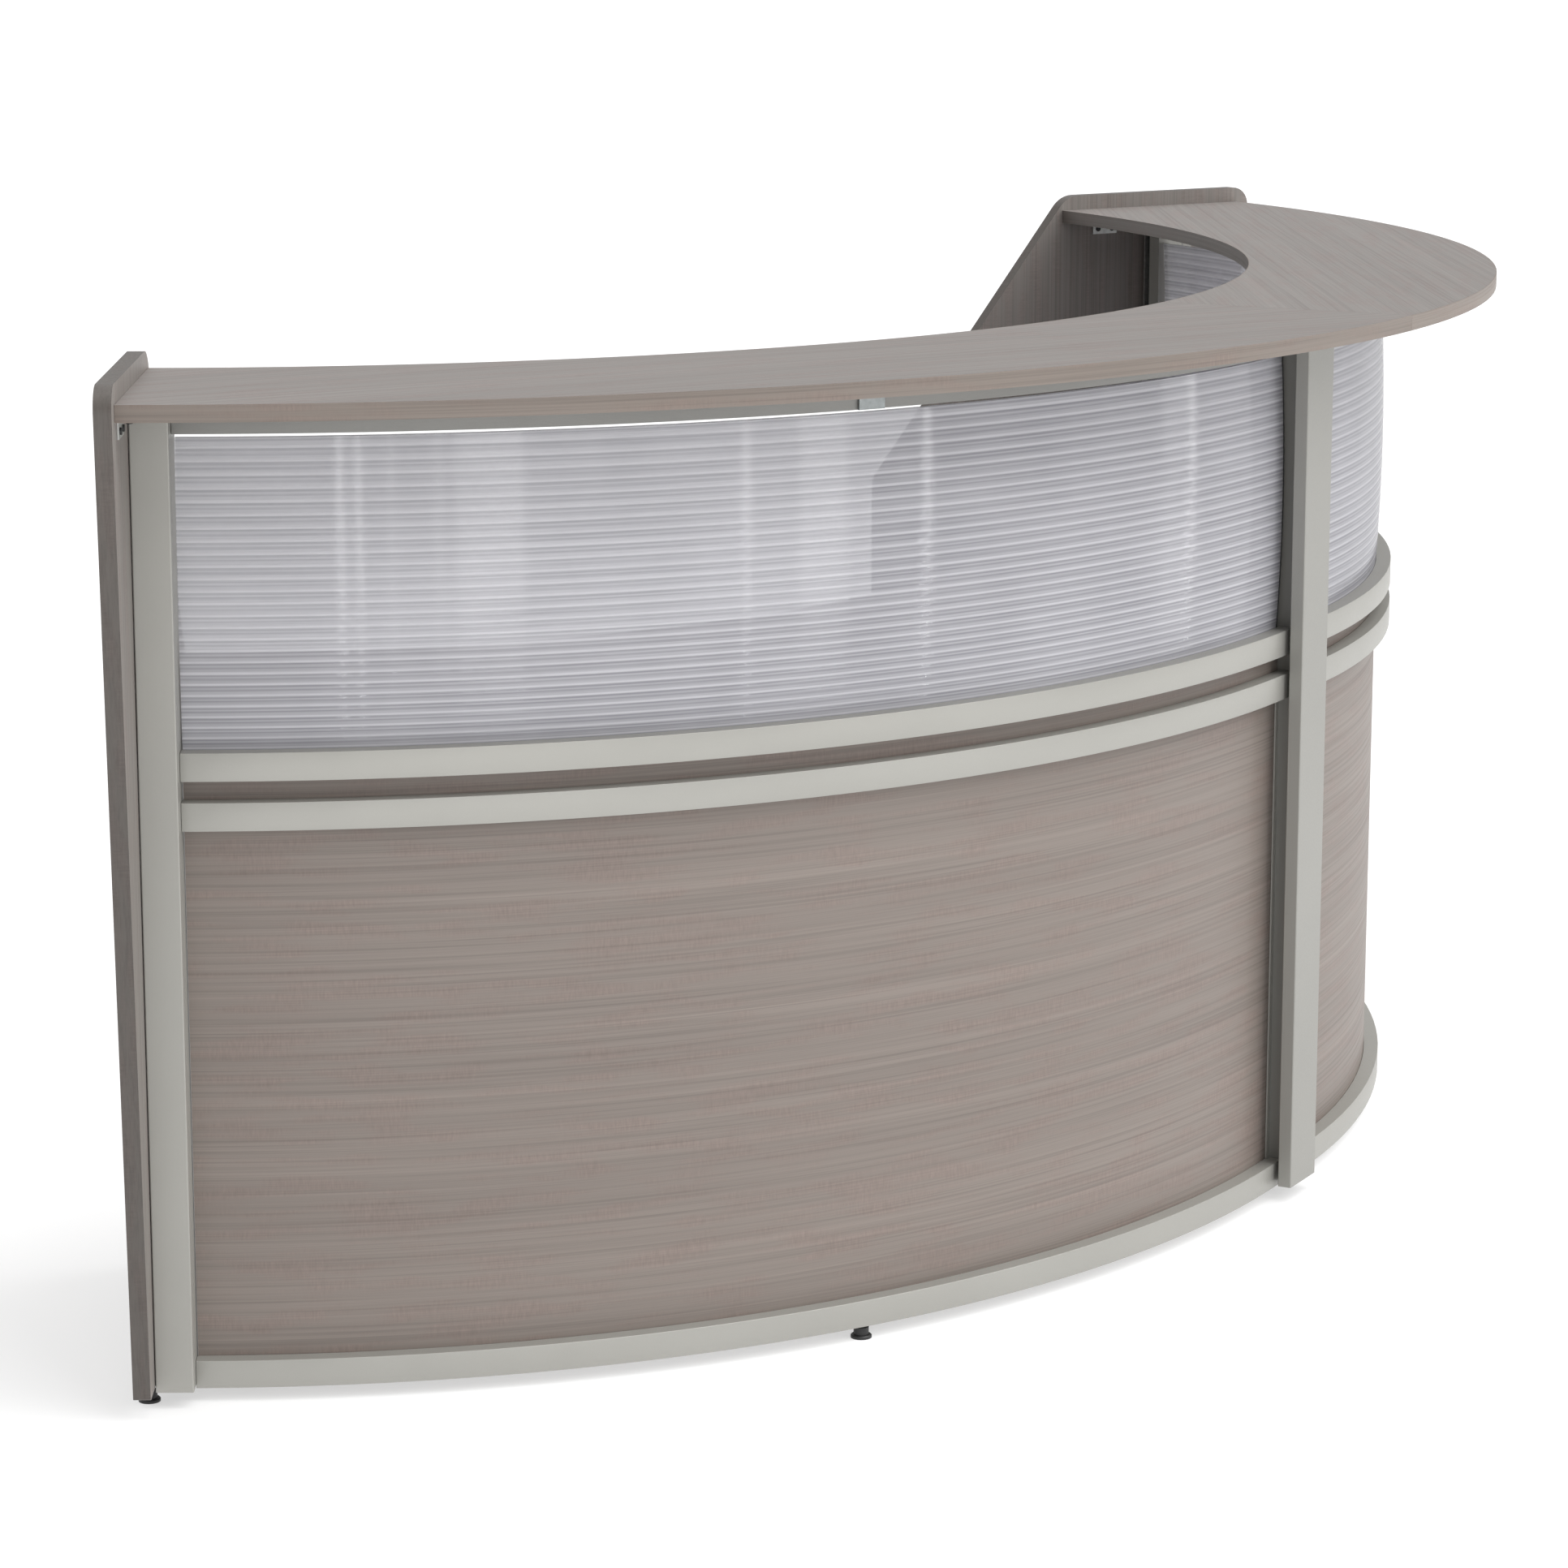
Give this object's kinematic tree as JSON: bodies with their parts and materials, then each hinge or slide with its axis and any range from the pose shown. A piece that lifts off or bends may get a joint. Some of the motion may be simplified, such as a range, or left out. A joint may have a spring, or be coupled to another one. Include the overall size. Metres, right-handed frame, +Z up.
{
  "type": "curved checkout counter",
  "caption": "Curved checkout and reception counter: bent metal rails between posts, laminate lower panels, fluted translucent upper panels, a narrow counter and a lower worksurface.",
  "frame": {"origin": "on the floor, below the centre of the overall box", "axes": "+Z up; -Y towards the customer; +X along the counter's long side; the part is mirrored about X = 0"},
  "size_m": [3.0422, 1.2254, 1.1684],
  "materials": {
    "laminate": "matt ash-grey wood-grain laminate",
    "edge_band": "matt wood-grain edge band",
    "frame_metal": "satin warm silver paint",
    "polycarbonate": "fluted, translucent, glossy",
    "steel": "plain zinc-plated steel",
    "black_plastic": "black moulded plastic"
  },
  "bodies": {
    "frame": {"left_counter_top": "laminate", "left_end_panel": "laminate", "left_lower_panel": "laminate", "left_worksurface": "laminate", "right_counter_top": "laminate", "right_end_panel": "laminate", "right_lower_panel": "laminate", "right_worksurface": "laminate", "left_counter_edge_bands": "edge_band", "left_worksurface_edge_band": "edge_band", "right_counter_edge_bands": "edge_band", "right_worksurface_edge_band": "edge_band", "left_bottom_rail": "frame_metal", "left_lower_mid_rail": "frame_metal", "left_upper_mid_rail": "frame_metal", "left_top_rail": "frame_metal", "left_end_post": "frame_metal", "left_end_post_channel": "frame_metal", "right_bottom_rail": "frame_metal", "right_lower_mid_rail": "frame_metal", "right_upper_mid_rail": "frame_metal", "right_top_rail": "frame_metal", "right_end_post": "frame_metal", "right_end_post_channel": "frame_metal", "middle_post": "frame_metal", "middle_post_channel": "frame_metal", "lower_panel_trims": "frame_metal", "left_upper_panel": "polycarbonate", "right_upper_panel": "polycarbonate", "left_end_joint_plate": "steel", "left_counter_brackets": "steel", "left_counter_bracket_screws": "steel", "left_worksurface_end_bracket": "steel", "left_worksurface_bracket_screws": "steel", "left_top_rail_clip": "steel", "left_bottom_rail_insert": "steel", "left_panel_inserts": "steel", "right_end_joint_plate": "steel", "right_counter_brackets": "steel", "right_counter_bracket_screws": "steel", "right_worksurface_end_bracket": "steel", "right_worksurface_bracket_screws": "steel", "right_top_rail_clip": "steel", "right_bottom_rail_insert": "steel", "right_panel_inserts": "steel", "counter_joining_plate": "steel", "middle_worksurface_bracket": "steel", "joint_screws": "steel"},
    "left_front_glide": {"left_front_glide_foot": "black_plastic", "left_front_glide_stem": "steel"},
    "left_rear_glide": {"left_rear_glide_foot": "black_plastic", "left_rear_glide_stem": "steel"},
    "left_rail_glide": {"left_rail_glide_foot": "black_plastic", "left_rail_glide_stem": "steel"},
    "right_front_glide": {"right_front_glide_foot": "black_plastic", "right_front_glide_stem": "steel"},
    "right_rear_glide": {"right_rear_glide_foot": "black_plastic", "right_rear_glide_stem": "steel"},
    "right_rail_glide": {"right_rail_glide_foot": "black_plastic", "right_rail_glide_stem": "steel"}
  },
  "joints": [
    {"name": "left_front_glide_adjust", "type": "slide", "parent": "frame", "child": "left_front_glide", "axis": [0, 0, -1], "range_m": [0, 0.015]},
    {"name": "left_rear_glide_adjust", "type": "slide", "parent": "frame", "child": "left_rear_glide", "axis": [0, 0, -1], "range_m": [0, 0.015]},
    {"name": "left_rail_glide_adjust", "type": "slide", "parent": "frame", "child": "left_rail_glide", "axis": [0, 0, -1], "range_m": [0, 0.015]},
    {"name": "right_front_glide_adjust", "type": "slide", "parent": "frame", "child": "right_front_glide", "axis": [0, 0, -1], "range_m": [0, 0.015]},
    {"name": "right_rear_glide_adjust", "type": "slide", "parent": "frame", "child": "right_rear_glide", "axis": [0, 0, -1], "range_m": [0, 0.015]},
    {"name": "right_rail_glide_adjust", "type": "slide", "parent": "frame", "child": "right_rail_glide", "axis": [0, 0, -1], "range_m": [0, 0.015]}
  ]
}
